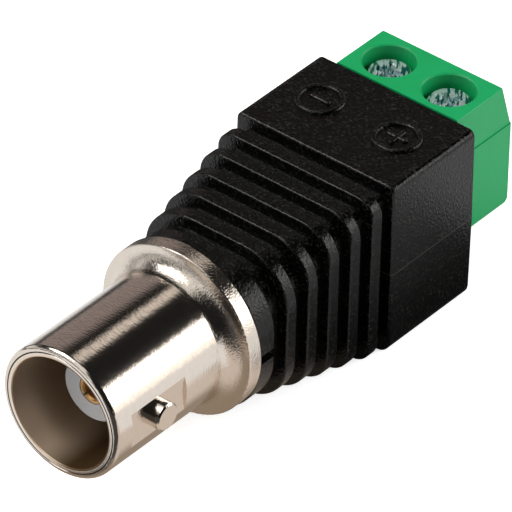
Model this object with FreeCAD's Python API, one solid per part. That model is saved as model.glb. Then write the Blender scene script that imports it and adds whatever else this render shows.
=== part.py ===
import FreeCAD, Part
import math
import os
from FreeCAD import Vector

# Bayonet coaxial jack on a two-pole screw terminal, in millimetres.
# The origin is the centre of the jack's mouth. -Y points out of the mouth, +Y to the
# terminal, +X to the plus pole, and +Z to the side that the screws are turned from.

# Jack's barrel and flange
barrel_d = 9.65
barrel_wall = 0.765
bore_depth = 8.4
lip_round = 0.3
lip_edge = 0.06
lip_groove_inset = 0.35
lip_groove_w = 0.09
lip_groove_depth = 0.07
barrel_l = 11.5
barrel_foot_r = 1.25
lug_d = 2.0
lug_h = 0.675
lug_y = 4.2
lug_chamfer = 0.12
lug_flat_l = 5.3
lug_flat_depth = 0.18
flange_w = 1.425
flange_t = 1.2
flange_edge = 0.1

# Jack's tail, inside the housing
neck_d = 7.0
neck_flat_depth = 0.4
neck_flats_start = 1.2
neck_flats_l = 3.4
collar_h = 0.7
collar_start = 5.8
collar_t = 1.0
collar_web = 0.85
spigot_step = 0.35
spigot_wall = 0.33
spigot_l = 0.8
spigot_lip_w = 0.15
spigot_lip_t = 0.36

# Insulators and centre contact
nose_d = 4.6
nose_recess = 3.1
nose_chamfer = 0.12
front_shoulder_start = 0.8
front_shoulder_l = 3.5
rear_insulator_recess = 0.6
contact_d = 2.0
contact_recess = 0.05
contact_bore_d = 1.38
contact_bore_l = 7.2
contact_lead = 0.12
contact_edge = 0.04
contact_slot_w = 0.14
contact_slot_l = 5.0
contact_slot_angle = 45
contact_collar_h = 0.5
contact_collar_l = 1.0
contact_collar_inset = 1.0
contact_tail_l = 3.2
cup_wall = 0.4
cup_play = 0.05
cup_depth = 1.6

# Ground tag, wires and solder
tag_play = 0.06
tag_room = 0.4
tag_t = 0.4
tag_tab_w = 1.6
tag_tab_l = 3.4
wire_d = 0.8
wire_end_gap = 0.3
wire_cup_lead = 2.0
wire_bar_lead = 1.0
wire_tab_lap = 2.0
wire_tab_lead = 0.6
bend_share = 0.45
solder_film = 0.05
solder_cover = 0.2
solder_w = 1.2
solder_l = 1.0
solder_inset = 0.2
solder_ring_l = 0.45
solder_edge = 0.06

# Housing's box
box_l = 8.6
box_half_w = 6.72
box_side_draft = 0.09
box_top = 6.75
box_bottom = 6.9
box_top_round = 0.5
box_bottom_round = 1.0
box_edge_round = 0.18
box_rear_round = 0.1
box_crease_round = 0.05
parting_z = -0.3
wall = 1.3
rear_wall = 1.2

# Housing's ribbed neck, from the flange to the box
neck_gap = 0.05
neck_l = 12.8
neck_front_half_w = 5.85
neck_front_top = 5.4
neck_front_bottom = 5.85
neck_front_round = 4.6
neck_rear_drop = 0.04
neck_rear_round = 0.85
neck_least_round = 0.3
rib_count = 6
rib_lead = 0.8
rib_w = 1.0
rib_depth = 0.9
rib_edge_round = 0.14
neck_wall = 1.1
pry_slot_h = 0.68
pry_slot_depth = 0.7
pry_slot_side = 0.2
pry_slot_drop = 0.2

# Locating pins between the two housing halves
boss_d = 1.9
boss_inset = 0.78
boss_root = 0.2
boss_from_box_front = 2.7
locating_pin_d = 1.0
locating_pin_h = 1.2
neck_pin_d = 0.7
neck_pin_h = 0.9
neck_pin_rib = 1
pin_root = 0.5
pin_clearance = 0.05

# Terminal block
pitch = 5.08
block_end_wall = 0.75
block_rear_wall = 1.3
block_foot = 0.5
block_step = 0.07
block_step_z = 3.45
block_slant = 1.05
block_corner = 0.3
block_edge_round = 0.15
tongue_lip = 0.45
tongue_lip_l = 1.3
tongue_side_play = 0.13
tongue_top_play = 0.55
hole_front_wall = 0.58
screw_hole_chamfer = 0.1
ledge_t = 0.8
entry_w = 3.0
entry_extra_h = 0.25
entry_funnel = 0.4

# Clamp screw, cage and contact bar of one pole
screw_d = 2.5
screw_head_d = 3.0
screw_head_h = 0.95
screw_head_room = 0.35
screw_head_recess = 0.87
screw_head_chamfer = 0.12
screw_tip_chamfer = 0.24
screw_turn_minus = 18
screw_turn_plus = 57
cross_span = 2.0
cross_w = 0.5
cross_depth = 0.75
cross_foot = 0.55
cross_taper = 0.8
cage_bar_play = 0.2
cage_side = 0.45
cage_l = 4.2
cage_roof = 1.2
cage_floor = 0.6
cage_travel = 1.9
cage_clearance = 0.15
bar_w = 2.2
bar_t = 0.7
bar_top = 0.75
bar_tail_w = 1.2
bar_tail_l = 1.8
bar_anchor = 0.45

# Clearances between pieces
press_gap = 0.02
seat_gap = 0.05
thread_gap = 0.05
closed_gap = 0.1

# How far a cutting shape reaches past what it cuts
over = 1.0
over_thin = 0.05

# Widths that follow from the sizes above
bore_d = barrel_d - 2 * barrel_wall
lug_span = barrel_d + 2 * lug_h
flange_d = barrel_d + 2 * flange_w
neck_flats = neck_d - 2 * neck_flat_depth
collar_d = neck_d + 2 * collar_h
spigot_d = neck_d - 2 * spigot_step
rear_insulator_d = spigot_d - 2 * (spigot_wall + press_gap)
contact_collar_d = contact_d + 2 * contact_collar_h
cup_d = wire_d + 2 * cup_play
contact_tail_d = cup_d + 2 * cup_wall
boss_x = box_half_w - wall - boss_inset
tongue_half_w = box_half_w - wall - tongue_side_play - tongue_lip
cage_half_w = bar_w / 2 + cage_bar_play + cage_side
chamber_half_w = cage_half_w + cage_clearance
block_half_w = pitch / 2 + chamber_half_w + block_end_wall
screw_hole_d = screw_head_d + 2 * screw_head_room

# Stations along Y that follow from the sizes above
flange_front = barrel_l
flange_rear = flange_front + flange_t
collar_front = flange_rear + collar_start
collar_rear = collar_front + collar_t
cavity_front = collar_rear + seat_gap + collar_web
spigot_front = cavity_front + tag_room
shell_rear = spigot_front + spigot_l
neck_front = flange_rear + neck_gap
box_front = flange_rear + neck_l
box_rear = box_front + box_l
rib_pitch = (neck_l - rib_lead) / rib_count
rear_wall_front = box_rear - rear_wall
screw_y = box_rear + screw_hole_d / 2 + hole_front_wall
block_front = box_rear + press_gap
tongue_front = rear_wall_front - tongue_lip_l
contact_front = nose_recess + contact_recess
front_shoulder_y = flange_rear + front_shoulder_start
rear_insulator_front = front_shoulder_y + front_shoulder_l
rear_insulator_rear = shell_rear - rear_insulator_recess
contact_collar_rear = rear_insulator_front - press_gap - contact_collar_inset
contact_rear = rear_insulator_rear + contact_tail_l
tab_rear = spigot_front + press_gap + tag_tab_l
bar_front = tongue_front - bar_tail_l - seat_gap
wire_bar_end = bar_front + bar_tail_l - wire_end_gap
wire_tab_end = tab_rear - wire_tab_lap
chamber_front = screw_y - cage_l / 2 - cage_clearance
chamber_rear = screw_y + cage_l / 2 + cage_clearance
block_rear = chamber_rear + block_rear_wall

# Heights that follow from the sizes above
bar_bottom = bar_top - bar_t
screw_tip = bar_top + closed_gap
cage_roof_underside = bar_top + cage_clearance
cage_floor_top = bar_bottom - closed_gap - cage_travel
cage_bottom = cage_floor_top - cage_floor
chamber_top = cage_roof_underside + cage_roof + cage_travel + cage_clearance
ledge_z = chamber_top + ledge_t
head_underside = ledge_z + seat_gap
block_top = head_underside + screw_head_h + screw_head_recess
block_bottom = cage_bottom - block_foot
tongue_top = box_top - wall - tongue_top_play
entry_top = bar_bottom - closed_gap
entry_bottom = entry_top - cage_travel - entry_extra_h
wire_z = bar_top + solder_film + wire_d / 2


def box(x0, x1, y0, y1, z0, z1):
    """A box between two corners."""
    return Part.makeBox(x1 - x0, y1 - y0, z1 - z0, Vector(x0, y0, z0))


def cylinder_z(d, x, y, z0, z1):
    return Part.makeCylinder(d / 2, z1 - z0, Vector(x, y, z0), Vector(0, 0, 1))


def cylinder_y(d, y0, y1, x=0.0, z=0.0):
    return Part.makeCylinder(d / 2, y1 - y0, Vector(x, y0, z), Vector(0, 1, 0))


def turned(profile):
    """Turn a closed profile about the Y axis.

    The profile is a list of (radius, y) corners; a corner written as
    (radius, y, mid_radius, mid_y) is reached by an arc through the middle point."""
    edges = []
    for here, there in zip(profile, profile[1:] + profile[:1]):
        a = Vector(here[0], here[1], 0)
        b = Vector(there[0], there[1], 0)
        if len(there) == 4:
            edges.append(Part.Arc(a, Vector(there[2], there[3], 0), b).toShape())
        else:
            edges.append(Part.makeLine(a, b))
    face = Part.Face(Part.Wire(edges))
    return face.revolve(Vector(0, 0, 0), Vector(0, 1, 0), 360)


def rounded_wire(corners, radii, y):
    """A closed outline in the plane at y, with each (x, z) corner rounded by its radius."""
    edges = []
    starts = []
    ends = []
    mids = []
    count = len(corners)
    for i, r in enumerate(radii):
        p = Vector(corners[i][0], y, corners[i][1])
        before = Vector(corners[i - 1][0], y, corners[i - 1][1])
        after = Vector(corners[(i + 1) % count][0], y, corners[(i + 1) % count][1])
        u = (before - p).normalize()
        v = (after - p).normalize()
        half = u.getAngle(v) / 2
        reach = r / math.tan(half)
        middle = (u + v).normalize()
        centre = p + middle * (r / math.sin(half))
        starts.append(p + u * reach)
        ends.append(p + v * reach)
        mids.append(centre - middle * r)
    for i in range(count):
        edges.append(Part.Arc(starts[i], mids[i], ends[i]).toShape())
        edges.append(Part.makeLine(ends[i], starts[(i + 1) % count]))
    return Part.Wire(edges)


def edges_at_y(shape, y):
    """The edges of a shape that lie in the plane at y."""
    found = []
    for edge in shape.Edges:
        bounds = edge.BoundBox
        if abs(bounds.YMin - y) < 1e-6 and abs(bounds.YMax - y) < 1e-6:
            found.append(edge)
    return found


def along_neck(y, at_front, at_rear):
    """A size that changes evenly from the neck's front to the box."""
    share = (y - neck_front) / (box_front - neck_front)
    return at_front + (at_rear - at_front) * share


def neck_half_w(y):
    return along_neck(y, neck_front_half_w, box_half_w)


def neck_top(y):
    return along_neck(y, neck_front_top, box_top - neck_rear_drop)


def neck_bottom(y):
    return along_neck(y, neck_front_bottom, box_bottom - neck_rear_drop)


def neck_wire(y, inset):
    """The neck's outline at y, drawn in by inset."""
    w = neck_half_w(y) - inset
    top = neck_top(y) - inset
    bottom = neck_bottom(y) - inset
    r = along_neck(y, neck_front_round, neck_rear_round) - inset
    r = max(neck_least_round, min(r, w - over_thin, (top + bottom) / 2 - over_thin))
    corners = [(w, top), (-w, top), (-w, -bottom), (w, -bottom)]
    return rounded_wire(corners, [r] * 4, y)


def neck_loft(y0, y1, inset):
    return Part.makeLoft([neck_wire(y0, inset), neck_wire(y1, inset)], True, True)


def jack_shell():
    """Barrel, bayonet lugs, flange and tail, turned and cast as one piece."""
    barrel_r = barrel_d / 2
    bore_r = bore_d / 2
    flange_r = flange_d / 2
    neck_r = neck_d / 2
    passage_r = nose_d / 2 + press_gap
    rear_r = rear_insulator_d / 2 + press_gap
    lip_r = spigot_d / 2 + spigot_lip_w
    groove_r = bore_r + lip_groove_inset
    turn = 1 - math.sqrt(0.5)
    edge_r = flange_r - flange_edge * turn
    profile = [
        (bore_r + lip_edge, 0),
        (groove_r - lip_groove_w / 2, 0),
        (groove_r, lip_groove_depth),
        (groove_r + lip_groove_w / 2, 0),
        (barrel_r - lip_round, 0),
        (barrel_r, lip_round, barrel_r - lip_round * turn, lip_round * turn),
        (barrel_r, flange_front - barrel_foot_r),
        (
            barrel_r + barrel_foot_r,
            flange_front,
            barrel_r + barrel_foot_r * turn,
            flange_front - barrel_foot_r * turn,
        ),
        (flange_r - flange_edge, flange_front),
        (flange_r, flange_front + flange_edge, edge_r, flange_front + flange_edge * turn),
        (flange_r, flange_rear - flange_edge),
        (flange_r - flange_edge, flange_rear, edge_r, flange_rear - flange_edge * turn),
        (neck_r, flange_rear),
        (neck_r, collar_front),
        (collar_d / 2, collar_front),
        (collar_d / 2, collar_rear),
        (neck_r, collar_rear),
        (neck_r, spigot_front),
        (spigot_d / 2, spigot_front),
        (spigot_d / 2, shell_rear - spigot_lip_t),
        (lip_r, shell_rear - spigot_lip_t),
        (lip_r, shell_rear),
        (rear_r, shell_rear),
        (rear_r, front_shoulder_y),
        (passage_r, front_shoulder_y),
        (passage_r, bore_depth),
        (bore_r, bore_depth),
        (bore_r, lip_edge),
    ]
    shell = turned(profile)
    flats_front = flange_rear + neck_flats_start
    lug_flat_x = barrel_r - lug_flat_depth
    for side in (-1, 1):
        y0 = lug_y - lug_flat_l / 2
        spot = box(lug_flat_x, barrel_r + over, y0, y0 + lug_flat_l, -bore_r, bore_r)
        if side < 0:
            spot = spot.mirror(Vector(0, 0, 0), Vector(1, 0, 0))
        shell = shell.cut(spot)
        root_x = (barrel_r + bore_r) / 2
        root = Vector(root_x, lug_y, 0)
        lug = Part.makeCylinder(lug_d / 2, lug_span / 2 - root_x, root, Vector(1, 0, 0))
        tip = [e for e in lug.Edges if e.BoundBox.XMin > lug_span / 2 - 1e-6]
        lug = lug.makeChamfer(lug_chamfer, tip)
        if side < 0:
            lug = lug.mirror(Vector(0, 0, 0), Vector(1, 0, 0))
        shell = shell.fuse(lug)
        z0 = neck_flats / 2
        flat = box(-neck_d, neck_d, flats_front, flats_front + neck_flats_l, z0, neck_d)
        if side < 0:
            flat = flat.mirror(Vector(0, 0, 0), Vector(0, 0, 1))
        shell = shell.cut(flat)
    return shell


def front_insulator():
    """The dielectric whose nose shows in the mouth."""
    nose_r = nose_d / 2
    hole_r = contact_d / 2 + press_gap
    profile = [
        (hole_r, nose_recess),
        (nose_r - nose_chamfer, nose_recess),
        (nose_r, nose_recess + nose_chamfer),
        (nose_r, front_shoulder_y + press_gap),
        (rear_insulator_d / 2, front_shoulder_y + press_gap),
        (rear_insulator_d / 2, rear_insulator_front - press_gap),
        (contact_collar_d / 2 + press_gap, rear_insulator_front - press_gap),
        (contact_collar_d / 2 + press_gap, contact_collar_rear - contact_collar_l - press_gap),
        (hole_r, contact_collar_rear - contact_collar_l - press_gap),
    ]
    return turned(profile)


def rear_insulator():
    """The bush that traps the contact's collar from behind."""
    hole_r = contact_tail_d / 2 + press_gap
    boss_r = contact_collar_d / 2
    profile = [
        (hole_r, contact_collar_rear + press_gap),
        (boss_r, contact_collar_rear + press_gap),
        (boss_r, rear_insulator_front),
        (rear_insulator_d / 2, rear_insulator_front),
        (rear_insulator_d / 2, rear_insulator_rear),
        (hole_r, rear_insulator_rear),
    ]
    return turned(profile)


def centre_contact():
    """Slotted socket in front, collar in the middle, solder cup behind."""
    bore_r = contact_bore_d / 2
    outer_r = contact_d / 2
    collar_r = contact_collar_d / 2
    tail_r = contact_tail_d / 2
    collar_front_y = contact_collar_rear - contact_collar_l
    bore_end = contact_front + contact_bore_l
    profile = [
        (bore_r + contact_lead, contact_front),
        (outer_r - contact_edge, contact_front),
        (outer_r, contact_front + contact_edge),
        (outer_r, collar_front_y),
        (collar_r, collar_front_y),
        (collar_r, contact_collar_rear),
        (tail_r, contact_collar_rear),
        (tail_r, contact_rear),
        (cup_d / 2, contact_rear),
        (cup_d / 2, contact_rear - cup_depth),
        (0, contact_rear - cup_depth),
        (0, bore_end),
        (bore_r, bore_end),
        (bore_r, contact_front + contact_lead),
    ]
    contact = turned(profile)
    slot_end = contact_front + contact_slot_l
    half = contact_slot_w / 2
    for angle in (0, 90):
        slot = box(-half, half, contact_front - over, slot_end, -contact_d, contact_d)
        slot.rotate(Vector(0, 0, 0), Vector(0, 1, 0), angle + contact_slot_angle)
        contact = contact.cut(slot)
    return contact


def tag_radius():
    """As large as the neck's cavity allows where the tag sits."""
    nearest = min(neck_half_w(spigot_front), neck_top(spigot_front), neck_bottom(spigot_front))
    return nearest - rib_depth - neck_wall - tag_play


def tab_inner_x():
    """Where the tab's inner face is, on the minus side."""
    return tag_t - tag_radius()


def ground_tag():
    """Stamped ring on the tail's spigot, with a tab bent back for the ground wire."""
    hole_d = spigot_d + 2 * press_gap
    y0 = spigot_front + press_gap
    ring = cylinder_y(2 * tag_radius(), y0, y0 + tag_t)
    outer_x = -tag_radius()
    tab = box(outer_x, tab_inner_x(), y0, tab_rear, -tag_tab_w / 2, tag_tab_w / 2)
    root = box(outer_x, outer_x + tag_t * 2, y0, y0 + tag_t, -tag_tab_w / 2, tag_tab_w / 2)
    hole = cylinder_y(hole_d, y0 - over, y0 + tag_t + over)
    return ring.fuse(tab).fuse(root).cut(hole).removeSplitter()


def wire_route(points):
    """Straight runs joined by tangent arcs, each as large as its runs allow."""
    edges = []
    start = points[0]
    for i in range(1, len(points) - 1):
        p = points[i]
        u = (points[i - 1] - p).normalize()
        v = (points[i + 1] - p).normalize()
        run = min((points[i - 1] - p).Length, (points[i + 1] - p).Length)
        reach = bend_share * run
        half = u.getAngle(v) / 2
        middle = (u + v).normalize()
        radius = reach * math.tan(half)
        centre = p + middle * (radius / math.sin(half))
        a = p + u * reach
        b = p + v * reach
        edges.append(Part.makeLine(start, a))
        edges.append(Part.Arc(a, centre - middle * radius, b).toShape())
        start = b
        print("wire bend radius", round(radius, 2))
    edges.append(Part.makeLine(start, points[-1]))
    return Part.Wire(edges)


def wire(points):
    route = wire_route(points)
    ring = Part.Wire([Part.makeCircle(wire_d / 2, points[0], points[1] - points[0])])
    return route.makePipeShell([ring], True, True)


def signal_wire():
    """From the contact's solder cup to the plus bar's tail."""
    points = [
        Vector(0, contact_rear - cup_depth + wire_end_gap, 0),
        Vector(0, contact_rear + wire_cup_lead, 0),
        Vector(pitch / 2, bar_front - wire_bar_lead, wire_z),
        Vector(pitch / 2, wire_bar_end, wire_z),
    ]
    return wire(points)


def ground_wire():
    """From the ground tag's tab to the minus bar's tail."""
    wire_tab_x = tab_inner_x() + solder_film + wire_d / 2
    points = [
        Vector(wire_tab_x, wire_tab_end, 0),
        Vector(wire_tab_x, tab_rear + wire_tab_lead, 0),
        Vector(-pitch / 2, bar_front - wire_bar_lead, wire_z),
        Vector(-pitch / 2, wire_bar_end, wire_z),
    ]
    return wire(points)


def solder_saddle(x, y, z, turn):
    """Solder over a wire that lies on a flat; turn swings the flat's normal from +Z to +X."""
    half = solder_w / 2
    wire_height = solder_film + wire_d / 2
    crest = solder_film + wire_d + solder_cover
    foot = Part.makeLine(Vector(-half, 0, 0), Vector(half, 0, 0))
    back = Part.Arc(Vector(half, 0, 0), Vector(0, 0, crest), Vector(-half, 0, 0)).toShape()
    saddle = Part.Face(Part.Wire([foot, back])).extrude(Vector(0, solder_l, 0))
    saddle = saddle.cut(cylinder_y(wire_d, -over, solder_l + over, 0, wire_height))
    saddle.rotate(Vector(0, 0, 0), Vector(0, 1, 0), turn)
    saddle.translate(Vector(x, y, z))
    return saddle


def solder_ring():
    """Fillet of solder round the signal wire, on the rim of the contact's cup."""
    wire_r = wire_d / 2
    rim_r = contact_tail_d / 2
    rear = contact_rear + solder_ring_l
    waist_r = wire_r + solder_edge + (rim_r - wire_r - solder_edge) * (1 - math.sqrt(0.5))
    waist_y = contact_rear + solder_ring_l * (1 - math.sqrt(0.5))
    profile = [
        (wire_r, contact_rear),
        (rim_r, contact_rear),
        (wire_r + solder_edge, rear, waist_r, waist_y),
        (wire_r, rear),
    ]
    return turned(profile)


def contact_bar(x):
    """Flat bar that the wire is clamped against, with a narrow solder tail."""
    wide_front = bar_front + bar_tail_l
    wide = box(x - bar_w / 2, x + bar_w / 2, wide_front, chamber_rear + bar_anchor, bar_bottom, bar_top)
    tail = box(x - bar_tail_w / 2, x + bar_tail_w / 2, bar_front, wide_front, bar_bottom, bar_top)
    return wide.fuse(tail).removeSplitter()


def clamp_cage(x):
    """Rising cage: a rectangular loop that hangs on the screw's thread."""
    z0 = cage_floor_top - cage_floor
    z1 = cage_roof_underside + cage_roof
    y0 = screw_y - cage_l / 2
    y1 = screw_y + cage_l / 2
    outer = box(x - cage_half_w, x + cage_half_w, y0, y1, z0, z1)
    upright = [e for e in outer.Edges if e.BoundBox.YLength > cage_l - 1e-6]
    outer = outer.makeFillet(cage_side / 2, upright)
    inner_half = cage_half_w - cage_side
    window = box(x - inner_half, x + inner_half, y0 - over, y1 + over, cage_floor_top, cage_roof_underside)
    thread = cylinder_z(screw_d + 2 * thread_gap, x, screw_y, cage_roof_underside - over, z1 + over)
    return outer.cut(window).cut(thread)


def cross_recess(x, turn):
    """Tapered cross that the screwdriver enters."""
    top = head_underside + screw_head_h
    floor = top - cross_depth
    cross = None
    for angle in (turn, turn + 90):
        wires = []
        for z, half in ((floor, cross_foot), (top + over_thin, cross_span / 2)):
            w = cross_w / 2 * (cross_taper if z < top else 1.0)
            corners = [(-half, -w), (half, -w), (half, w), (-half, w)]
            points = [Vector(x + a, screw_y + b, z) for a, b in corners]
            wires.append(Part.makePolygon(points + points[:1]))
        arm = Part.makeLoft(wires, True, True)
        arm.rotate(Vector(x, screw_y, 0), Vector(0, 0, 1), angle)
        cross = arm if cross is None else cross.fuse(arm)
    return cross


def clamp_screw(x, turn):
    """Plated clamp screw with a cross recess; the thread is left smooth here."""
    top = head_underside + screw_head_h
    head = cylinder_z(screw_head_d, x, screw_y, head_underside, top)
    rim = [e for e in head.Edges if e.BoundBox.ZMin > top - 1e-6]
    head = head.makeChamfer(screw_head_chamfer, rim)
    shank = cylinder_z(screw_d, x, screw_y, screw_tip, head_underside)
    tip = [e for e in shank.Edges if e.BoundBox.ZMax < screw_tip + 1e-6]
    shank = shank.makeChamfer(screw_tip_chamfer, tip)
    return head.fuse(shank).cut(cross_recess(x, turn))


def pole_cut(x):
    """Everything that one pole takes out of the terminal block."""
    left = x - chamber_half_w
    right = x + chamber_half_w
    chamber = box(left, right, chamber_front, chamber_rear, block_bottom - over, chamber_top)
    shank_hole_d = screw_d + 2 * cage_clearance
    shank_hole = cylinder_z(shank_hole_d, x, screw_y, chamber_top - over, ledge_z + over)
    head_hole = cylinder_z(screw_hole_d, x, screw_y, ledge_z, block_top + over)
    r = screw_hole_d / 2
    cone_l = 2 * screw_hole_chamfer
    chamfer = Part.makeCone(r, r + cone_l, cone_l, Vector(x, screw_y, block_top - screw_hole_chamfer))
    half = bar_w / 2 + press_gap
    slot = box(
        x - half,
        x + half,
        tongue_front - over,
        chamber_rear + bar_anchor + press_gap,
        bar_bottom - press_gap,
        bar_top + press_gap,
    )
    entry_half = entry_w / 2
    entry_front = chamber_rear - over
    entry = box(x - entry_half, x + entry_half, entry_front, block_rear + over, entry_bottom, entry_top)
    wires = []
    for y, grow in ((block_rear - entry_funnel, 0.0), (block_rear + over_thin, entry_funnel)):
        w = entry_half + grow
        corners = [
            (x - w, entry_bottom - grow),
            (x + w, entry_bottom - grow),
            (x + w, entry_top + grow),
            (x - w, entry_top + grow),
        ]
        points = [Vector(a, y, b) for a, b in corners]
        wires.append(Part.makePolygon(points + points[:1]))
    funnel = Part.makeLoft(wires, True, True)
    cut = chamber
    for piece in (shank_hole, head_hole, chamfer, slot, entry, funnel):
        cut = cut.fuse(piece)
    return cut


def block_side(half_w, z0, z1, keep_top):
    """One storey of the block, extruded across X from its (y, z) side view."""
    if keep_top:
        corners = [(block_front, z0), (block_rear, z0), (block_rear - block_slant, z1), (block_front, z1)]
    else:
        corners = [
            (block_front, z0),
            (block_rear - block_corner, z0),
            (block_rear, z0 + block_corner),
            (block_rear, z1),
            (block_front, z1),
        ]
    points = [Vector(-half_w, y, z) for y, z in corners]
    face = Part.Face(Part.makePolygon(points + points[:1]))
    storey = face.extrude(Vector(2 * half_w, 0, 0))
    shared_z = z0 if keep_top else z1
    outer = []
    for edge in storey.Edges:
        bounds = edge.BoundBox
        on_shared = max(abs(bounds.ZMin - shared_z), abs(bounds.ZMax - shared_z)) < 1e-6
        on_front = bounds.YMax < block_front + 1e-6
        if not on_shared and not on_front:
            outer.append(edge)
    return storey.makeFillet(block_edge_round, outer)


def terminal_block():
    """Two-pole moulding: screw holes above, cages inside, wire entries behind."""
    lower = block_side(block_half_w, block_bottom, block_step_z, False)
    upper = block_side(block_half_w - block_step, block_step_z, block_top, True)
    tongue = box(-tongue_half_w, tongue_half_w, tongue_front, block_front, block_bottom, tongue_top)
    lip_half = tongue_half_w + tongue_lip
    lip = box(-lip_half, lip_half, tongue_front, rear_wall_front - seat_gap, block_bottom, tongue_top)
    block = lower.fuse(upper).fuse(tongue).fuse(lip)
    for side in (-1, 1):
        block = block.cut(pole_cut(side * pitch / 2))
    return block.removeSplitter()


def housing_box():
    """The drafted box that carries the terminal block."""
    top_w = box_half_w - box_side_draft
    bottom_w = box_half_w - box_side_draft * (box_bottom + parting_z) / (box_top - parting_z)
    corners = [
        (top_w, box_top),
        (-top_w, box_top),
        (-box_half_w, parting_z),
        (-bottom_w, -box_bottom),
        (bottom_w, -box_bottom),
        (box_half_w, parting_z),
    ]
    top_r = box_top_round
    bottom_r = box_bottom_round
    crease_r = box_crease_round
    radii = [top_r, top_r, crease_r, bottom_r, bottom_r, crease_r]
    wire_front = rounded_wire(corners, radii, box_front)
    solid = Part.Face(wire_front).extrude(Vector(0, box_l, 0))
    solid = solid.makeFillet(box_edge_round, edges_at_y(solid, box_front))
    return solid.makeFillet(box_rear_round, edges_at_y(solid, box_rear))


def rib(number):
    """One rib of the neck; number 0 is next to the box, and the last one starts at the flange."""
    y0 = box_front - (number + 1) * rib_pitch
    y1 = y0 + rib_w
    if number == rib_count - 1:
        y0 = neck_front
    solid = Part.Face(neck_wire(y0, 0)).extrude(Vector(0, y1 - y0, 0))
    ends = edges_at_y(solid, y0) + edges_at_y(solid, y1)
    return solid.makeFillet(rib_edge_round, ends)


def housing_solid():
    """Box, neck and ribs as one solid, before it is hollowed."""
    solid = housing_box().fuse(neck_loft(neck_front, box_front + wall / 2, rib_depth))
    for number in range(rib_count):
        solid = solid.fuse(rib(number))
    last_rib_rear = box_front - rib_count * rib_pitch + rib_w
    slot_z = parting_z - pry_slot_drop
    reach = neck_front_half_w + over
    for side in (-1, 1):
        inner = neck_front_half_w - pry_slot_depth
        slot = box(
            inner,
            reach,
            neck_front - over,
            last_rib_rear + pry_slot_side,
            slot_z - pry_slot_h / 2,
            slot_z + pry_slot_h / 2,
        )
        if side < 0:
            slot = slot.mirror(Vector(0, 0, 0), Vector(1, 0, 0))
        solid = solid.cut(slot)
    return solid


def housing_hollow():
    """Seat for the jack's tail, the cavities, and the window for the block's tongue."""
    seat_d = neck_d + 2 * seat_gap
    flats_front = flange_rear + neck_flats_start - seat_gap
    flats_rear = flats_front + neck_flats_l + 2 * seat_gap
    flat_z = neck_flats / 2 + seat_gap
    seat = cylinder_y(seat_d, neck_front - over, cavity_front + over)
    for side in (-1, 1):
        key = box(-neck_d, neck_d, flats_front + 2 * seat_gap, flats_rear - 2 * seat_gap, flat_z, neck_d)
        if side < 0:
            key = key.mirror(Vector(0, 0, 0), Vector(0, 0, 1))
        seat = seat.cut(key)
    groove = cylinder_y(collar_d + 2 * seat_gap, collar_front - seat_gap, collar_rear + seat_gap)
    neck_cavity = neck_loft(cavity_front, box_front + wall + over, rib_depth + neck_wall)
    box_cavity = box(
        wall - box_half_w,
        box_half_w - wall,
        box_front + wall,
        rear_wall_front,
        wall - box_bottom,
        box_top - wall,
    )
    half = tongue_half_w + seat_gap
    sill = block_bottom - seat_gap
    window = box(-half, half, rear_wall_front - over, box_rear + over, sill, tongue_top + seat_gap)
    return seat.fuse(groove).fuse(neck_cavity).fuse(box_cavity).fuse(window)


def locating_pins(grow):
    """Pins on the lower half; with grow above zero, the sockets that take them."""
    boss_y = box_front + boss_from_box_front
    neck_y = box_front - (neck_pin_rib + 1) * rib_pitch + rib_w / 2
    neck_x = neck_half_w(neck_y) - rib_depth - neck_wall / 2
    pins = None
    for side in (-1, 1):
        for x, y, d, h in (
            (side * boss_x, boss_y, locating_pin_d, locating_pin_h),
            (side * neck_x, neck_y, neck_pin_d, neck_pin_h),
        ):
            pin = cylinder_z(d + 2 * grow, x, y, parting_z - pin_root, parting_z + h + grow)
            pins = pin if pins is None else pins.fuse(pin)
    return pins


def bosses(z0, z1):
    """Posts beside the cavity's walls, from z0 to z1."""
    y = box_front + boss_from_box_front
    return cylinder_z(boss_d, -boss_x, y, z0, z1).fuse(cylinder_z(boss_d, boss_x, y, z0, z1))


def housing_halves():
    """Upper and lower half shells, split at the parting plane."""
    body = housing_solid().cut(housing_hollow())
    far = 4 * box_half_w
    above = box(-far, far, -far, 4 * far, parting_z, far)
    below = box(-far, far, -far, 4 * far, -far, parting_z)
    upper = body.common(above)
    lower = body.common(below)
    upper = upper.fuse(bosses(parting_z, box_top - wall + boss_root))
    upper = upper.cut(locating_pins(pin_clearance)).removeSplitter()
    lower = lower.fuse(bosses(wall - box_bottom - boss_root, parting_z))
    lower = lower.fuse(locating_pins(0)).removeSplitter()
    return upper, lower


def all_parts():
    upper, lower = housing_halves()
    parts = {
        "housing_upper": upper,
        "housing_lower": lower,
        "bnc_shell": jack_shell(),
        "front_insulator": front_insulator(),
        "rear_insulator": rear_insulator(),
        "centre_contact": centre_contact(),
        "ground_tag": ground_tag(),
        "signal_wire": signal_wire(),
        "ground_wire": ground_wire(),
        "terminal_block": terminal_block(),
    }
    for name, side, turn in (("minus", -1, screw_turn_minus), ("plus", 1, screw_turn_plus)):
        x = side * pitch / 2
        parts["contact_bar_" + name] = contact_bar(x)
        parts["clamp_cage_" + name] = clamp_cage(x)
        parts["clamp_screw_" + name] = clamp_screw(x, turn)
    bar_solder_y = wire_bar_end - solder_inset - solder_l
    parts["solder_centre"] = solder_ring()
    parts["solder_tag"] = solder_saddle(tab_inner_x(), wire_tab_end + solder_inset, 0, 90)
    parts["solder_plus"] = solder_saddle(pitch / 2, bar_solder_y, bar_top, 0)
    parts["solder_minus"] = solder_saddle(-pitch / 2, bar_solder_y, bar_top, 0)
    return parts


def main():
    os.makedirs("parts", exist_ok=True)
    for name, shape in all_parts().items():
        solids = len(shape.Solids)
        print(f"{name}: {solids} solid, {shape.Volume:.2f} mm3, valid {shape.isValid()}")
        shape.exportStep(f"parts/{name}.step")


main()
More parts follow.
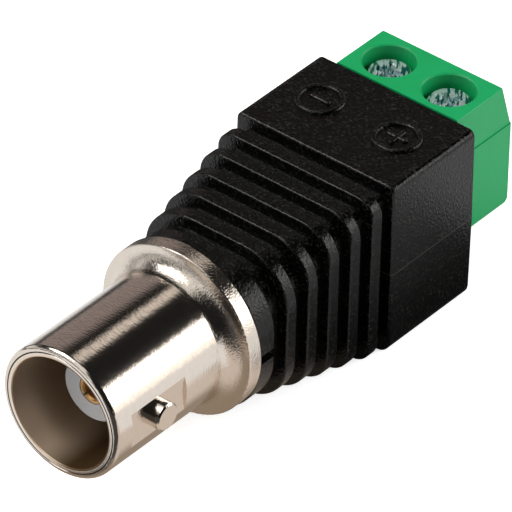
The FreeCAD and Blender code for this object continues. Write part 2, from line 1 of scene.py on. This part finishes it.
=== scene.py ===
# %% [markdown]
# # A coaxial jack on two screw terminals
#
# This small adapter joins a camera's coaxial plug to two bare wires. A plated jack with bayonet
# lugs stands in a ribbed black housing, and a green clamp block carries the wires behind.
# The pieces come at their real size from a fixed model. This lesson gives each of them its
# finish, adds the raised signs, the screw threads and the fine marks of making, and lights the
# whole on a white table.

import math

import bmesh
import bpy
from mathutils import Matrix, Vector


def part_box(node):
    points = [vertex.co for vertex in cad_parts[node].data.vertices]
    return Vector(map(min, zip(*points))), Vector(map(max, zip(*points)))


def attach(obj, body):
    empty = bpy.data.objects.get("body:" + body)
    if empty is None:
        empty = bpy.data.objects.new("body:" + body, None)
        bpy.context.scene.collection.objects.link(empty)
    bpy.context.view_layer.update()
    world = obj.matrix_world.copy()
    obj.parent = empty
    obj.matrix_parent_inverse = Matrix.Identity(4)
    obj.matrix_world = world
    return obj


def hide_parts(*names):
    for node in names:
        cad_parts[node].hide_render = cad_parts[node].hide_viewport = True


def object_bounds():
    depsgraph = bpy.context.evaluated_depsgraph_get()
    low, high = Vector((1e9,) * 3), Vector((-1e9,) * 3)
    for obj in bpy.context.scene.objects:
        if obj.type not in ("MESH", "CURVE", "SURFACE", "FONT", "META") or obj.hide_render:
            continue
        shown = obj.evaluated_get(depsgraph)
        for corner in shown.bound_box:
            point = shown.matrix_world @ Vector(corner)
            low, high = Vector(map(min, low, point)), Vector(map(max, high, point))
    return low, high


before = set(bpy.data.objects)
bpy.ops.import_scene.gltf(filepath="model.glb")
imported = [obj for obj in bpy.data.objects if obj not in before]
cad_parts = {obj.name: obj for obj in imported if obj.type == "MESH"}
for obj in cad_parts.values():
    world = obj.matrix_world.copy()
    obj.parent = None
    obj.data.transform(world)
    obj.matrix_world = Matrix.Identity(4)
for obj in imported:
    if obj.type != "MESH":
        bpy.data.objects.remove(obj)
model_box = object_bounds()
MM = 0.001
print("box of the model:", [round(v / MM, 2) for corner in model_box for v in corner])

# %% [markdown]
# ## Where things are
#
# The model's own boxes give the places that this lesson needs: the mouth of the jack lies at
# the origin, the barrel points to -Y, the screws stand along Z, and the plus pole is on +X.

# %% Read the places
upper_low, upper_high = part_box("housing_upper")
base_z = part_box("housing_lower")[0].z
screw_low, screw_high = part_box("clamp_screw_plus")

box_top_z = upper_high.z
parting_z = upper_low.z
pole_x = (screw_low.x + screw_high.x) / 2
screw_y = (screw_low.y + screw_high.y) / 2
print("box top", round(box_top_z / MM, 3), "base", round(base_z / MM, 3))
print("parting", round(parting_z / MM, 3), "poles", round(pole_x / MM, 3), round(screw_y / MM, 3))

# %% [markdown]
# ## Shader maths as plain arithmetic
#
# A material is a tree of nodes, and most of its nodes only add and multiply. Written out one by
# one they hide the thought, so a small class wraps a socket and lets it be used in ordinary
# expressions. Every other node comes from one method, which sets a node up and wires its inputs.

# %% Socket arithmetic
class Socket:
    """One output of a shader node; arithmetic on it adds Math nodes."""

    def __init__(self, tree, output):
        self.tree = tree
        self.output = output

    def math(self, operation, *others):
        inputs = dict(enumerate((self,) + others))
        return self.tree.node("ShaderNodeMath", {"operation": operation}, inputs)

    def __add__(self, other):
        return self.math("ADD", other)

    __radd__ = __add__

    def __sub__(self, other):
        return self.math("SUBTRACT", other)

    def __rsub__(self, other):
        return self * -1.0 + other

    def __mul__(self, other):
        return self.math("MULTIPLY", other)

    __rmul__ = __mul__

    def __truediv__(self, other):
        return self.math("DIVIDE", other)

    def __abs__(self):
        return self.math("ABSOLUTE")

    def sqrt(self):
        return self.math("SQRT")

    def above(self, edge, soft):
        """0 below edge and 1 above it, with a smooth step soft wide."""
        settings = {"interpolation_type": "SMOOTHSTEP"}
        inputs = {"Value": self, "From Min": edge - soft / 2, "From Max": edge + soft / 2}
        return self.tree.node("ShaderNodeMapRange", settings, inputs)

    def below(self, edge, soft):
        """1 below edge and 0 above it."""
        return 1.0 - self.above(edge, soft)


class Tree:
    """The node tree of a material or of the world, with one way to add a node."""

    def __init__(self, owner):
        owner.use_nodes = True
        self.nodes = owner.node_tree.nodes
        self.links = owner.node_tree.links
        self.nodes.clear()

    def node(self, kind, settings=None, inputs=None, output=0):
        made = self.nodes.new(kind)
        for name, value in (settings or {}).items():
            setattr(made, name, value)
        for name, value in (inputs or {}).items():
            if isinstance(value, Socket):
                self.links.new(value.output, made.inputs[name])
            else:
                made.inputs[name].default_value = value
        return Socket(self, made.outputs[output]) if len(made.outputs) else None

    def mix(self, factor, colour_a, colour_b):
        """Colour a where factor is 0, and colour b where it is 1."""
        inputs = {0: factor, 6: colour_a, 7: colour_b}
        return self.node("ShaderNodeMix", {"data_type": "RGBA"}, inputs, output=2)

    def place(self):
        """The point on the piece, in metres, as a vector and as x, y and z."""
        vector = self.node("ShaderNodeTexCoord", output=3)
        parts = [self.node("ShaderNodeSeparateXYZ", None, {0: vector}, output=i) for i in range(3)]
        return vector, *parts

    def vector(self, x, y, z):
        return self.node("ShaderNodeCombineXYZ", None, {0: x, 1: y, 2: z})

    def noise(self, vector, size, detail=2.0, roughness=0.5):
        """Noise from 0 to 1 whose marks are about size metres across."""
        inputs = {"Vector": vector, "Scale": 1.0 / size, "Detail": detail, "Roughness": roughness}
        return self.node("ShaderNodeTexNoise", None, inputs)

    def long_noise(self, coordinates, sizes, detail=2.0):
        """Noise whose marks have another size along each coordinate."""
        scaled = [value / size for value, size in zip(coordinates, sizes)]
        return self.noise(self.vector(*scaled), 1.0, detail)

    def bump(self, height, depth):
        """A normal that follows height, where a height of 1 stands depth metres proud."""
        inputs = {"Height": height, "Distance": depth, "Strength": 1.0}
        return self.node("ShaderNodeBump", None, inputs)


def grey(level):
    return (level, level, level, 1.0)


def rgb(red, green, blue):
    return (red, green, blue, 1.0)


print("shader helpers are ready")

# %% [markdown]
# ## A finish for each material
#
# Each function below returns one material. They share a skeleton: a surface shader whose colour,
# roughness and normal follow patterns in the object's own metres, so that a grain is as large as
# the real one, whatever the piece.

# %% Surface skeleton
def surface(name):
    material = bpy.data.materials.new(name)
    tree = Tree(material)
    return material, tree


def finish_surface(tree, inputs):
    shader = tree.node("ShaderNodeBsdfPrincipled", None, inputs)
    tree.node("ShaderNodeOutputMaterial", None, {"Surface": shader})


# %% [markdown]
# ## Black moulding
#
# The housing comes from a mould with a fine spark-eroded texture. That leaves grains of about a
# fifth of a millimetre, and the flat faces look almost black, because the grains scatter what
# little they reflect. Pale specks are painted into the colour as glints, where a grain would catch
# the light. The two halves meet in a fine seam, and on the sides of the box a faint pale line is
# painted along it as the seam's highlight.

# %% Black moulding
# The highlight painted along the seam: its half width, and where it starts along the box.
seam_highlight_half_w = 0.045 * MM
seam_highlight_start_y = 25.0 * MM
grain_depth = 0.048 * MM


def black_moulding():
    material, tree = surface("black_moulding")
    point, x, y, z = tree.place()
    grain = tree.noise(point, 0.19 * MM, roughness=0.6)
    clumps = tree.noise(point, 0.8 * MM)
    patches = tree.noise(point, 3.2 * MM)
    # A pale line painted along the seam stands in for its highlight.
    painted_line = abs(z - parting_z).below(seam_highlight_half_w, 0.04 * MM) * y.above(seam_highlight_start_y, 0.5 * MM)
    # Painted glints: pale specks in the colour, where a grain would catch the light.
    painted_glint = grain.above(0.60, 0.10) * clumps.above(0.40, 0.3)
    colour = tree.mix(painted_glint, rgb(0.0008, 0.0009, 0.0007), rgb(0.017, 0.017, 0.015))
    finish_surface(tree, {
        "Base Color": tree.mix(painted_line, colour, rgb(0.026, 0.026, 0.025)),
        "Roughness": 0.19 - 0.06 * grain + 0.06 * patches,
        "IOR": 1.45,
        "Specular IOR Level": 0.36,
        "Normal": tree.bump(grain + clumps * 0.1, grain_depth),
    })
    return material


# %% [markdown]
# ## Bright nickel
#
# The jack is plated with bright nickel, which has a warm tone. The turning tool left fine rings
# on the barrel, which the plating softens: they break up the edges of every reflection into
# hairs that run round the barrel. The rings follow y along the barrel and the radius on a face
# across it, so one coordinate, their sum, serves both. The flange kept the skin of the casting,
# which is wavy and specked. The bore is dull, and a painted shade darkens it towards its right
# side.

# %% Bright nickel
bore_r = 4.2 * MM
lip_groove_r = 4.41 * MM
foot_y = 10.4 * MM
foot_r = 4.9 * MM
plate_tone = (0.80, 0.72, 0.64)


def nickel():
    material, tree = surface("bright_nickel")
    point, x, y, z = tree.place()
    radius = (x * x + z * z).sqrt()
    rings = y + radius
    hair = tree.long_noise((x, rings, z), (0.40 * MM, 0.12 * MM, 0.40 * MM))
    wave = tree.long_noise((x, rings, z), (1.6 * MM, 0.9 * MM, 1.6 * MM), detail=1.0)
    dust = tree.noise(point, 0.35 * MM)
    speck = tree.noise(point, 0.14 * MM)

    inside = radius.below(bore_r, 0.1 * MM)
    # Painted shade: the bore's colour gets darker towards its right side.
    bore_painted_shade = x.above(-0.4 * MM, 2.6 * MM)
    foot = y.above(foot_y, 0.6 * MM) * radius.above(foot_r, 0.2 * MM)
    cast = y.above(foot_y - 0.1 * MM, 0.8 * MM)
    # A dark line painted in the colour as the shade in the groove round the lip.
    painted_line = abs(radius - lip_groove_r).below(0.05 * MM, 0.05 * MM) * y.below(0.1 * MM, 0.05 * MM)

    plate = tree.mix(dust, rgb(*plate_tone), rgb(*(0.92 * t for t in plate_tone)))
    # The bore's dull colour, with that painted shade mixed in.
    bore_colour_and_shade = tree.mix(bore_painted_shade, rgb(0.86, 0.68, 0.50), rgb(0.14, 0.08, 0.035))
    relief = 0.6 * hair * (1.0 - cast) + wave * (0.5 + 0.9 * cast) + 1.3 * speck * cast
    finish_surface(tree, {
        "Base Color": tree.mix(painted_line * 0.8, tree.mix(inside, plate, bore_colour_and_shade), rgb(0.10, 0.07, 0.05)),
        "Metallic": 1.0 - 0.2 * inside,
        "Roughness": 0.09 + 0.06 * hair + 0.03 * dust + 0.26 * inside + 0.04 * foot,
        "Normal": tree.bump(relief * (1.0 - 0.7 * inside), 0.02 * MM),
    })
    return material


# %% [markdown]
# ## The other finishes
#
# The dielectric is a milky plastic. The contact has a gold flash. The block is a satin green
# moulding. Screws, cages, bars, tags and wires are plated, and the solder has frozen with a
# slightly grainy skin.

# %% Plastics
def dielectric():
    material, tree = surface("dielectric")
    point, x, y, z = tree.place()
    cloud = tree.noise(point, 0.5 * MM, detail=3.0)
    finish_surface(tree, {
        "Base Color": tree.mix(cloud, rgb(0.60, 0.60, 0.62), rgb(0.70, 0.71, 0.73)),
        "Roughness": 0.34 + 0.1 * cloud,
        "Subsurface Weight": 0.15,
        "Subsurface Radius": (0.0004, 0.0004, 0.0005),
        "Normal": tree.bump(cloud, 0.004 * MM),
    })
    return material


def green_moulding():
    material, tree = surface("green_moulding")
    point, x, y, z = tree.place()
    satin = tree.noise(point, 0.12 * MM)
    flow = tree.long_noise((x, y, z), (2.4 * MM, 2.4 * MM, 7.0 * MM), detail=3.0)
    finish_surface(tree, {
        "Base Color": tree.mix(flow, rgb(0.004, 0.31, 0.085), rgb(0.007, 0.38, 0.125)),
        "Roughness": 0.36 + 0.12 * satin,
        "IOR": 1.5,
        "Specular IOR Level": 0.42,
        "Normal": tree.bump(satin + 0.8 * flow, 0.004 * MM),
    })
    return material


# %% Metals
def plated(name, tone, rough=0.22, grain_size=0.3 * MM, depth=0.004 * MM, metal=1.0):
    material, tree = surface(name)
    point, x, y, z = tree.place()
    grain = tree.noise(point, grain_size, detail=3.0)
    finish_surface(tree, {
        "Base Color": tree.mix(grain, rgb(*tone), rgb(*(0.85 * t for t in tone))),
        "Metallic": metal,
        "Roughness": rough + 0.14 * grain,
        "Normal": tree.bump(grain, depth),
    })
    return material


def bright_zinc():
    """Blue zinc on screws tumbled in a barrel, which dents and scratches the heads. Streaks of teal
    and white painted into the colour stand in for reflections of the green walls and the light.
    """
    material, tree = surface("bright_zinc")
    point, x, y, z = tree.place()
    across = x * 0.78 + y * 0.62
    along = y * 0.78 - x * 0.62
    # The streaks are scratches in the bump, and painted reflections in the colour.
    scratches_and_painted_reflection = tree.long_noise((across, along, z), (0.22 * MM, 1.1 * MM, 0.5 * MM), detail=1.0)
    dent = tree.noise(point, 0.45 * MM)
    # Painted reflection: teal and white streaks stand in for the green walls and the light.
    colour = tree.mix(scratches_and_painted_reflection.above(0.47, 0.14), rgb(0.01, 0.20, 0.17), rgb(0.84, 0.97, 1.0))
    finish_surface(tree, {
        "Base Color": colour,
        "Metallic": 0.72,
        "Roughness": 0.16 + 0.14 * dent,
        "Normal": tree.bump(scratches_and_painted_reflection + 0.5 * dent, 0.10 * MM),
    })
    return material


# %% [markdown]
# ## Dress the fixed pieces
#
# A fixed piece whose shape is right only needs its material. The dictionary names a finish for
# each piece, by what the real one is made of.

# %% Dress the fixed pieces
black = black_moulding()
bright_nickel = nickel()
milky = dielectric()
green = green_moulding()
gold = plated("gold_flash", (1.0, 0.60, 0.24), rough=0.26, metal=0.75)
zinc = bright_zinc()
cage_plate = plated("cage_plate", (0.76, 0.74, 0.70), rough=0.24)
tin = plated("tin_plate", (0.78, 0.77, 0.74), rough=0.3)
copper = plated("tinned_copper", (0.80, 0.77, 0.72), rough=0.28)
solder = plated("solder", (0.70, 0.70, 0.71), rough=0.32, grain_size=0.15 * MM, depth=0.006 * MM)

finishes = {
    "housing_upper": black,
    "housing_lower": black,
    "bnc_shell": bright_nickel,
    "front_insulator": milky,
    "rear_insulator": milky,
    "centre_contact": gold,
    "ground_tag": tin,
    "signal_wire": copper,
    "ground_wire": copper,
    "terminal_block": green,
    "contact_bar_minus": tin,
    "contact_bar_plus": tin,
    "clamp_cage_minus": cage_plate,
    "clamp_cage_plus": cage_plate,
    "clamp_screw_minus": zinc,
    "clamp_screw_plus": zinc,
    "solder_centre": solder,
    "solder_tag": solder,
    "solder_plus": solder,
    "solder_minus": solder,
}
for name, material in finishes.items():
    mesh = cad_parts[name].data
    mesh.materials.clear()
    mesh.materials.append(material)
print("dressed", len(finishes), "fixed pieces")

# %% [markdown]
# ## Raised polarity signs
#
# A ring with a bar, and a ring with a cross, stand a fifth of a millimetre proud of the box. The
# ring is a small rounded section turned about its centre. The bar and the cross start as a flat
# outline that is extruded and has its upper edges bevelled.

# %% Signs
sign_y = 30.08 * MM
sign_x = 3.25 * MM
ring_outer_r = 1.74 * MM
ring_w = 0.42 * MM
sign_h = 0.22 * MM
stroke_w = 0.42 * MM
stroke_l = 1.72 * MM
stroke_round = 0.18 * MM
sign_sink = 0.05 * MM
ring_facets = 8
ring_steps = 96
tiny = 1e-7


def make_piece(name, shape, material, body):
    """Turn a bmesh into a piece that rides on a body."""
    mesh = bpy.data.meshes.new(name)
    shape.to_mesh(mesh)
    shape.free()
    mesh.materials.append(material)
    for polygon in mesh.polygons:
        polygon.use_smooth = True
    piece = bpy.data.objects.new(name, mesh)
    bpy.context.scene.collection.objects.link(piece)
    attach(piece, body)
    print(name, "has", len(mesh.polygons), "faces")
    return piece


def add_ring(shape, centre):
    """A raised ring: a rounded section turned about Z."""
    middle = centre + Vector((ring_outer_r - ring_w / 2, 0, 0))
    corners = []
    for i in range(ring_facets + 1):
        angle = math.pi * i / ring_facets
        offset = Vector((math.cos(angle) * ring_w / 2, 0, sign_h * math.sin(angle)))
        corners.append(shape.verts.new(middle + offset))
    sink = Vector((0, 0, sign_sink))
    foot = [shape.verts.new(corner.co - sink) for corner in (corners[-1], corners[0])]
    loop = corners + foot
    edges = [shape.edges.new((a, b)) for a, b in zip(loop, loop[1:] + loop[:1])]
    bmesh.ops.spin(
        shape, geom=loop + edges, cent=centre, axis=(0, 0, 1), dvec=(0, 0, 0), angle=2 * math.pi,
        steps=ring_steps, use_merge=True, use_normal_flip=False, use_duplicate=False,
    )


def add_stroke(shape, centre, turn):
    """A straight stroke with rounded upper edges."""
    size = Matrix.Diagonal((stroke_l, stroke_w, sign_h + sign_sink, 1))
    place = Matrix.Translation(centre + Vector((0, 0, (sign_h - sign_sink) / 2)))
    stroke = place @ Matrix.Rotation(turn, 4, "Z") @ size
    made = bmesh.ops.create_cube(shape, size=1.0, matrix=stroke)
    top = centre.z + sign_h - tiny
    upper = {e for v in made["verts"] if v.co.z > top for e in v.link_edges}
    bmesh.ops.bevel(
        shape, geom=list(upper), offset=stroke_round, offset_type="OFFSET", segments=3,
        profile=0.5, affect="EDGES", material=-1,
    )


def sign(name, x, turns):
    shape = bmesh.new()
    centre = Vector((x, sign_y, box_top_z))
    add_ring(shape, centre)
    for turn in turns:
        add_stroke(shape, centre, turn)
    bmesh.ops.recalc_face_normals(shape, faces=shape.faces)
    piece = make_piece(name, shape, black, "adapter")


sign("minus_sign", -sign_x, (0.0,))
sign("plus_sign", sign_x, (0.0, math.pi / 2))

# %% [markdown]
# ## Screw threads
#
# The fixed model's screws have a smooth shank. Here the head and the tip are cut from a copy of
# it, and the thread between them is one tooth's outline, turned about the screw while it climbs
# by the pitch. The two ends of the helix are cut flat and lie inside the head and the tip.

# %% Screw threads
thread_pitch = 0.45 * MM
thread_depth = 0.25 * MM
head_step = 0.25 * MM
thread_r = (screw_high.x - screw_low.x) / 2 - head_step
root_r = thread_r - thread_depth
thread_low = screw_low.z + 0.15 * MM
thread_high = screw_low.z + 3.55 * MM
thread_overlap = 0.05 * MM
thread_steps = 32
sharp_angle = math.radians(30)


def cut_flat(shape, height, keep_above):
    """Cut a closed shape at a height, keep one side and close the cut."""
    geom = shape.verts[:] + shape.edges[:] + shape.faces[:]
    cut = bmesh.ops.bisect_plane(
        shape, geom=geom, dist=tiny, plane_co=(0, 0, height), plane_no=(0, 0, 1),
        clear_inner=keep_above, clear_outer=not keep_above,
    )
    rim = [e for e in cut["geom_cut"] if isinstance(e, bmesh.types.BMEdge)]
    bmesh.ops.holes_fill(shape, edges=rim, sides=0)


def add_thread(shape, centre):
    """A right-hand thread: one tooth turned about Z while it climbs."""
    start = thread_low - thread_pitch
    turns = math.ceil((thread_high - start) / thread_pitch)
    tooth = (
        (root_r, 0.0), (root_r, 0.1), (thread_r, 0.44),
        (thread_r, 0.56), (root_r, 0.9), (root_r, 1.0),
    )
    outline = [centre + Vector((r, 0, start + part * thread_pitch)) for r, part in tooth]
    corners = [shape.verts.new(corner) for corner in outline]
    edges = [shape.edges.new(pair) for pair in zip(corners, corners[1:])]
    bmesh.ops.spin(
        shape, geom=corners + edges, cent=centre, axis=(0, 0, 1),
        dvec=(0, 0, thread_pitch / thread_steps), angle=2 * math.pi * turns,
        steps=thread_steps * turns, use_merge=False, use_normal_flip=False, use_duplicate=False,
    )
    bmesh.ops.remove_doubles(shape, verts=shape.verts, dist=1e-6)
    cut_flat(shape, thread_low, True)
    cut_flat(shape, thread_high, False)


def join(whole, part):
    """Add a shape to another one."""
    mesh = bpy.data.meshes.new("part")
    part.to_mesh(mesh)
    part.free()
    whole.from_mesh(mesh)
    bpy.data.meshes.remove(mesh)


def threaded_screw(pole, side):
    whole = bmesh.new()
    cuts = ((thread_high - thread_overlap, True), (thread_low + thread_overlap, False))
    for height, keep_above in cuts:
        end = bmesh.new()
        end.from_mesh(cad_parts["clamp_screw_" + pole].data)
        bmesh.ops.remove_doubles(end, verts=end.verts, dist=tiny)
        cut_flat(end, height, keep_above)
        join(whole, end)
    thread = bmesh.new()
    add_thread(thread, Vector((side * pole_x, screw_y, 0)))
    join(whole, thread)
    bmesh.ops.recalc_face_normals(whole, faces=whole.faces)
    for edge in whole.edges:
        edge.smooth = edge.calc_face_angle(math.pi) < sharp_angle
    piece = make_piece("threaded_screw_" + pole, whole, zinc, "screw_" + pole)
    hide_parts("clamp_screw_" + pole)


threaded_screw("minus", -1)
threaded_screw("plus", 1)

# %% [markdown]
# ## White table
#
# The table is a large pale sheet. Where the camera looks straight at it, it glows, so that it
# comes out white and still keeps a light shadow. In the plating it glows instead with a painted
# map of lit and dark areas with soft edges, placed in millimetres round the adapter, as a small
# table does in a dark studio: that painted light and shade draws the bright bands and the dark
# gaps in the metal.

# %% The table as the plating sees it
def painted_lit_areas(x, y):
    """1 where the table is painted as lit and 0 where it is painted dark."""
    out = (x * x + y * y).sqrt()
    aslant = y + 0.7 * x
    front_left = x.below(-0.5 * MM, 5.0 * MM) * aslant.below(-4.5 * MM, 3.0 * MM)
    back_left = x.below(-8.0 * MM, 6.0 * MM) * aslant.below(11.5 * MM, 5.0 * MM)
    right = x.above(15.0 * MM, 6.0 * MM) * y.above(9.0 * MM, 5.0 * MM)
    beside = x.above(12.5 * MM, 8.5 * MM) * y.above(27.0 * MM, 6.0 * MM)
    behind = x.above(7.5 * MM, 3.0 * MM) * y.above(41.0 * MM, 4.0 * MM)
    lit = front_left * out.below(80.0 * MM, 40.0 * MM)
    for area in (
        back_left * out.below(56.0 * MM, 60.0 * MM),
        right * (y - x).below(10.0 * MM, 6.0 * MM),
        beside * 0.38,
        behind * 0.9,
    ):
        lit = lit.math("MAXIMUM", area)
    return lit


def painted_under_barrel_shade(tree, x, y):
    """The painted dark of the unlit table, with a painted warm shade under the barrel."""
    under = x.above(-4.0 * MM, 4.0 * MM) * y.above(-3.0 * MM, 4.0 * MM) * y.below(20.0 * MM, 6.0 * MM)
    shade = tree.mix(x.above(6.3 * MM, 4.0 * MM), rgb(0.32, 0.26, 0.20), rgb(0.70, 0.62, 0.56))
    return tree.mix(under, grey(0.03), shade)


# %% Table
table_size = 1.2
table_z = base_z - 0.01 * MM


def table_material():
    material, tree = surface("white_table")
    point, x, y, z = tree.place()
    straight = tree.node("ShaderNodeLightPath", output="Is Camera Ray")
    through = tree.node("ShaderNodeLightPath", output="Is Transmission Ray")
    mirrored = tree.node("ShaderNodeLightPath", output="Is Glossy Ray")
    # The painted map of light and shade that the metal sees in the table, shown as glow.
    painted_light_map = tree.mix(painted_lit_areas(x, y), painted_under_barrel_shade(tree, x, y), grey(0.90))
    around = tree.mix(mirrored, grey(0.0), painted_light_map)
    finish_surface(tree, {
        "Base Color": tree.mix(mirrored, grey(0.80), grey(0.03)),
        "Roughness": 0.6,
        "Specular IOR Level": 0.0,
        "Emission Color": tree.mix(straight.math("MAXIMUM", through), around, grey(0.75)),
        "Emission Strength": 1.0,
    })
    return material


table = bmesh.new()
bmesh.ops.create_grid(table, x_segments=1, y_segments=1, size=table_size)
bmesh.ops.translate(table, verts=table.verts, vec=(0, 0, table_z))
table_mesh = bpy.data.meshes.new("table")
table.to_mesh(table_mesh)
table.free()
table_mesh.materials.append(table_material())
table_piece = bpy.data.objects.new("table", table_mesh)
bpy.context.scene.collection.objects.link(table_piece)
print("the table lies at z =", round(table_z / MM, 2), "mm")

# %% [markdown]
# ## Studio light
#
# Plated metal shows the room more than itself. The room is therefore described as long panels
# that run along the adapter. Each has its angle round the Y axis, its half width and the softness
# of its edge in degrees, then the directions that it spans along Y, and its colour. Behind the
# adapter hang a narrow strip overhead, a dim wall on the left and a white panel low on the right.
# Before it stand a screen overhead and one on the left. A small bright core lights front edges.

# %% Room
room_dark = 0.012
panel_end_soft = 0.12
panels = (
    (104.0, 8.0, 8.0, 0.55, 1.2, (0.86, 0.79, 0.72)),  # strip overhead
    (166.0, 33.0, 22.0, 0.55, 1.2, (0.29, 0.245, 0.235)),  # dim wall on the left
    (206.0, 24.0, 16.0, 0.55, 1.2, (0.20, 0.20, 0.20)),  # the wall's lower part
    (12.0, 31.0, 6.0, 0.48, 0.95, (1.5, 1.42, 1.34)),  # white panel on the right
    (26.0, 13.0, 10.0, 0.48, 0.95, (2.2, 2.25, 2.3)),  # the white panel's bright upper part
    (108.0, 32.0, 12.0, -1.2, 0.22, (0.84, 0.83, 0.80)),  # front screen overhead
    (188.0, 24.0, 16.0, -1.2, 0.30, (0.78, 0.77, 0.76)),  # front screen on the left
)
core_way = Vector((-0.50, -0.32, 0.80)).normalized()
core_edge = math.cos(math.radians(15))
core_soft = 0.05
core_colour = (5.6, 5.55, 5.5)


def add_light(tree, light, colour, mask):
    """The light of the room with a patch of colour more."""
    patch = tree.node("ShaderNodeVectorMath", {"operation": "SCALE"}, {0: colour, "Scale": mask})
    return tree.node("ShaderNodeVectorMath", {"operation": "ADD"}, {0: light, 1: patch})


def room():
    world = bpy.data.worlds.new("studio")
    bpy.context.scene.world = world
    tree = Tree(world)
    direction = tree.node("ShaderNodeTexCoord", output=0)
    x, y, z = (tree.node("ShaderNodeSeparateXYZ", None, {0: direction}, output=i) for i in range(3))
    flat = (x * x + z * z + 1e-6).sqrt()
    light = tree.vector(room_dark, room_dark, room_dark)
    for angle, half, soft, y_low, y_high, colour in panels:
        turn = math.radians(angle)
        facing = (x * math.cos(turn) + z * math.sin(turn)) / flat
        off = facing.math("MINIMUM", 1.0).math("ARCCOSINE")
        span = y.above(y_low, panel_end_soft) * y.below(y_high, panel_end_soft)
        light = add_light(tree, light, colour, off.below(math.radians(half), math.radians(soft)) * span)
    facing = x * core_way.x + y * core_way.y + z * core_way.z
    light = add_light(tree, light, core_colour, facing.above(core_edge, core_soft))
    straight = tree.node("ShaderNodeLightPath", output="Is Camera Ray")
    through = tree.node("ShaderNodeLightPath", output="Is Transmission Ray")
    colour = tree.mix(straight.math("MAXIMUM", through), light, grey(1.0))
    background = tree.node("ShaderNodeBackground", None, {"Color": colour, "Strength": 1.0})
    tree.node("ShaderNodeOutputWorld", None, {"Surface": background})
    print("the room has", len(panels), "panels")


room()

# %% [markdown]
# ## Lamps
#
# Two soft lamps light the plastics and cast the shadow on the table. Both are hidden from glossy
# rays, so that the metal shows the room alone and not a bright square.

# %% Lamps
lamp_distance = 0.6
lamp_size = 0.40


def lamp(name, direction, power):
    """A square lamp that looks at the adapter's middle from a direction."""
    data = bpy.data.lights.new(name, "AREA")
    data.shape = "SQUARE"
    data.size = lamp_size
    data.energy = power
    made = bpy.data.objects.new(name, data)
    bpy.context.scene.collection.objects.link(made)
    middle = (model_box[0] + model_box[1]) / 2
    way = Vector(direction).normalized()
    made.location = middle + way * lamp_distance
    made.rotation_mode = "QUATERNION"
    made.rotation_quaternion = way.to_track_quat("Z", "Y")
    made.visible_glossy = False
    print(name, "shines", power, "W from", [round(v, 2) for v in way])


lamp("key_lamp", (-0.46, -0.50, 0.72), 1.1)
lamp("fill_lamp", (0.80, 0.40, 0.45), 2.0)

# %% [markdown]
# ## Camera
#
# The photograph was taken with a long lens from the front, the right and above. Its angles were
# fitted to the barrel, the flange and the box, and so was the tiny roll.

# %% Camera
camera_azimuth = math.radians(38.66)
camera_elevation = math.radians(36.97)
camera_roll = math.radians(1.37)
camera_distance = 466.9 * MM
camera_lens = 501.9
camera_target = Vector((0, 19.0, 0)) * MM
camera_offset = Vector((-0.43, -1.4053)) * MM

right = Vector((math.cos(camera_azimuth), math.sin(camera_azimuth), 0))
back = Vector((
    math.sin(camera_azimuth) * math.cos(camera_elevation),
    -math.cos(camera_azimuth) * math.cos(camera_elevation),
    math.sin(camera_elevation),
))
up = back.cross(right)
rolled_right = right * math.cos(camera_roll) + up * math.sin(camera_roll)
rolled_up = up * math.cos(camera_roll) - right * math.sin(camera_roll)
shift = rolled_right * camera_offset.x + rolled_up * camera_offset.y
eye = camera_target - shift + back * camera_distance

camera_data = bpy.data.cameras.new("camera")
camera_data.lens = camera_lens
camera_data.sensor_width = 36.0
camera_data.clip_start = 0.01
camera_data.clip_end = 10.0
camera = bpy.data.objects.new("camera", camera_data)
bpy.context.scene.collection.objects.link(camera)
camera.matrix_world = Matrix((rolled_right, rolled_up, back)).transposed().to_4x4()
camera.location = eye
bpy.context.scene.camera = camera
bpy.context.scene.view_settings.view_transform = "Standard"
print("the camera stands at", [round(v / MM, 1) for v in eye])
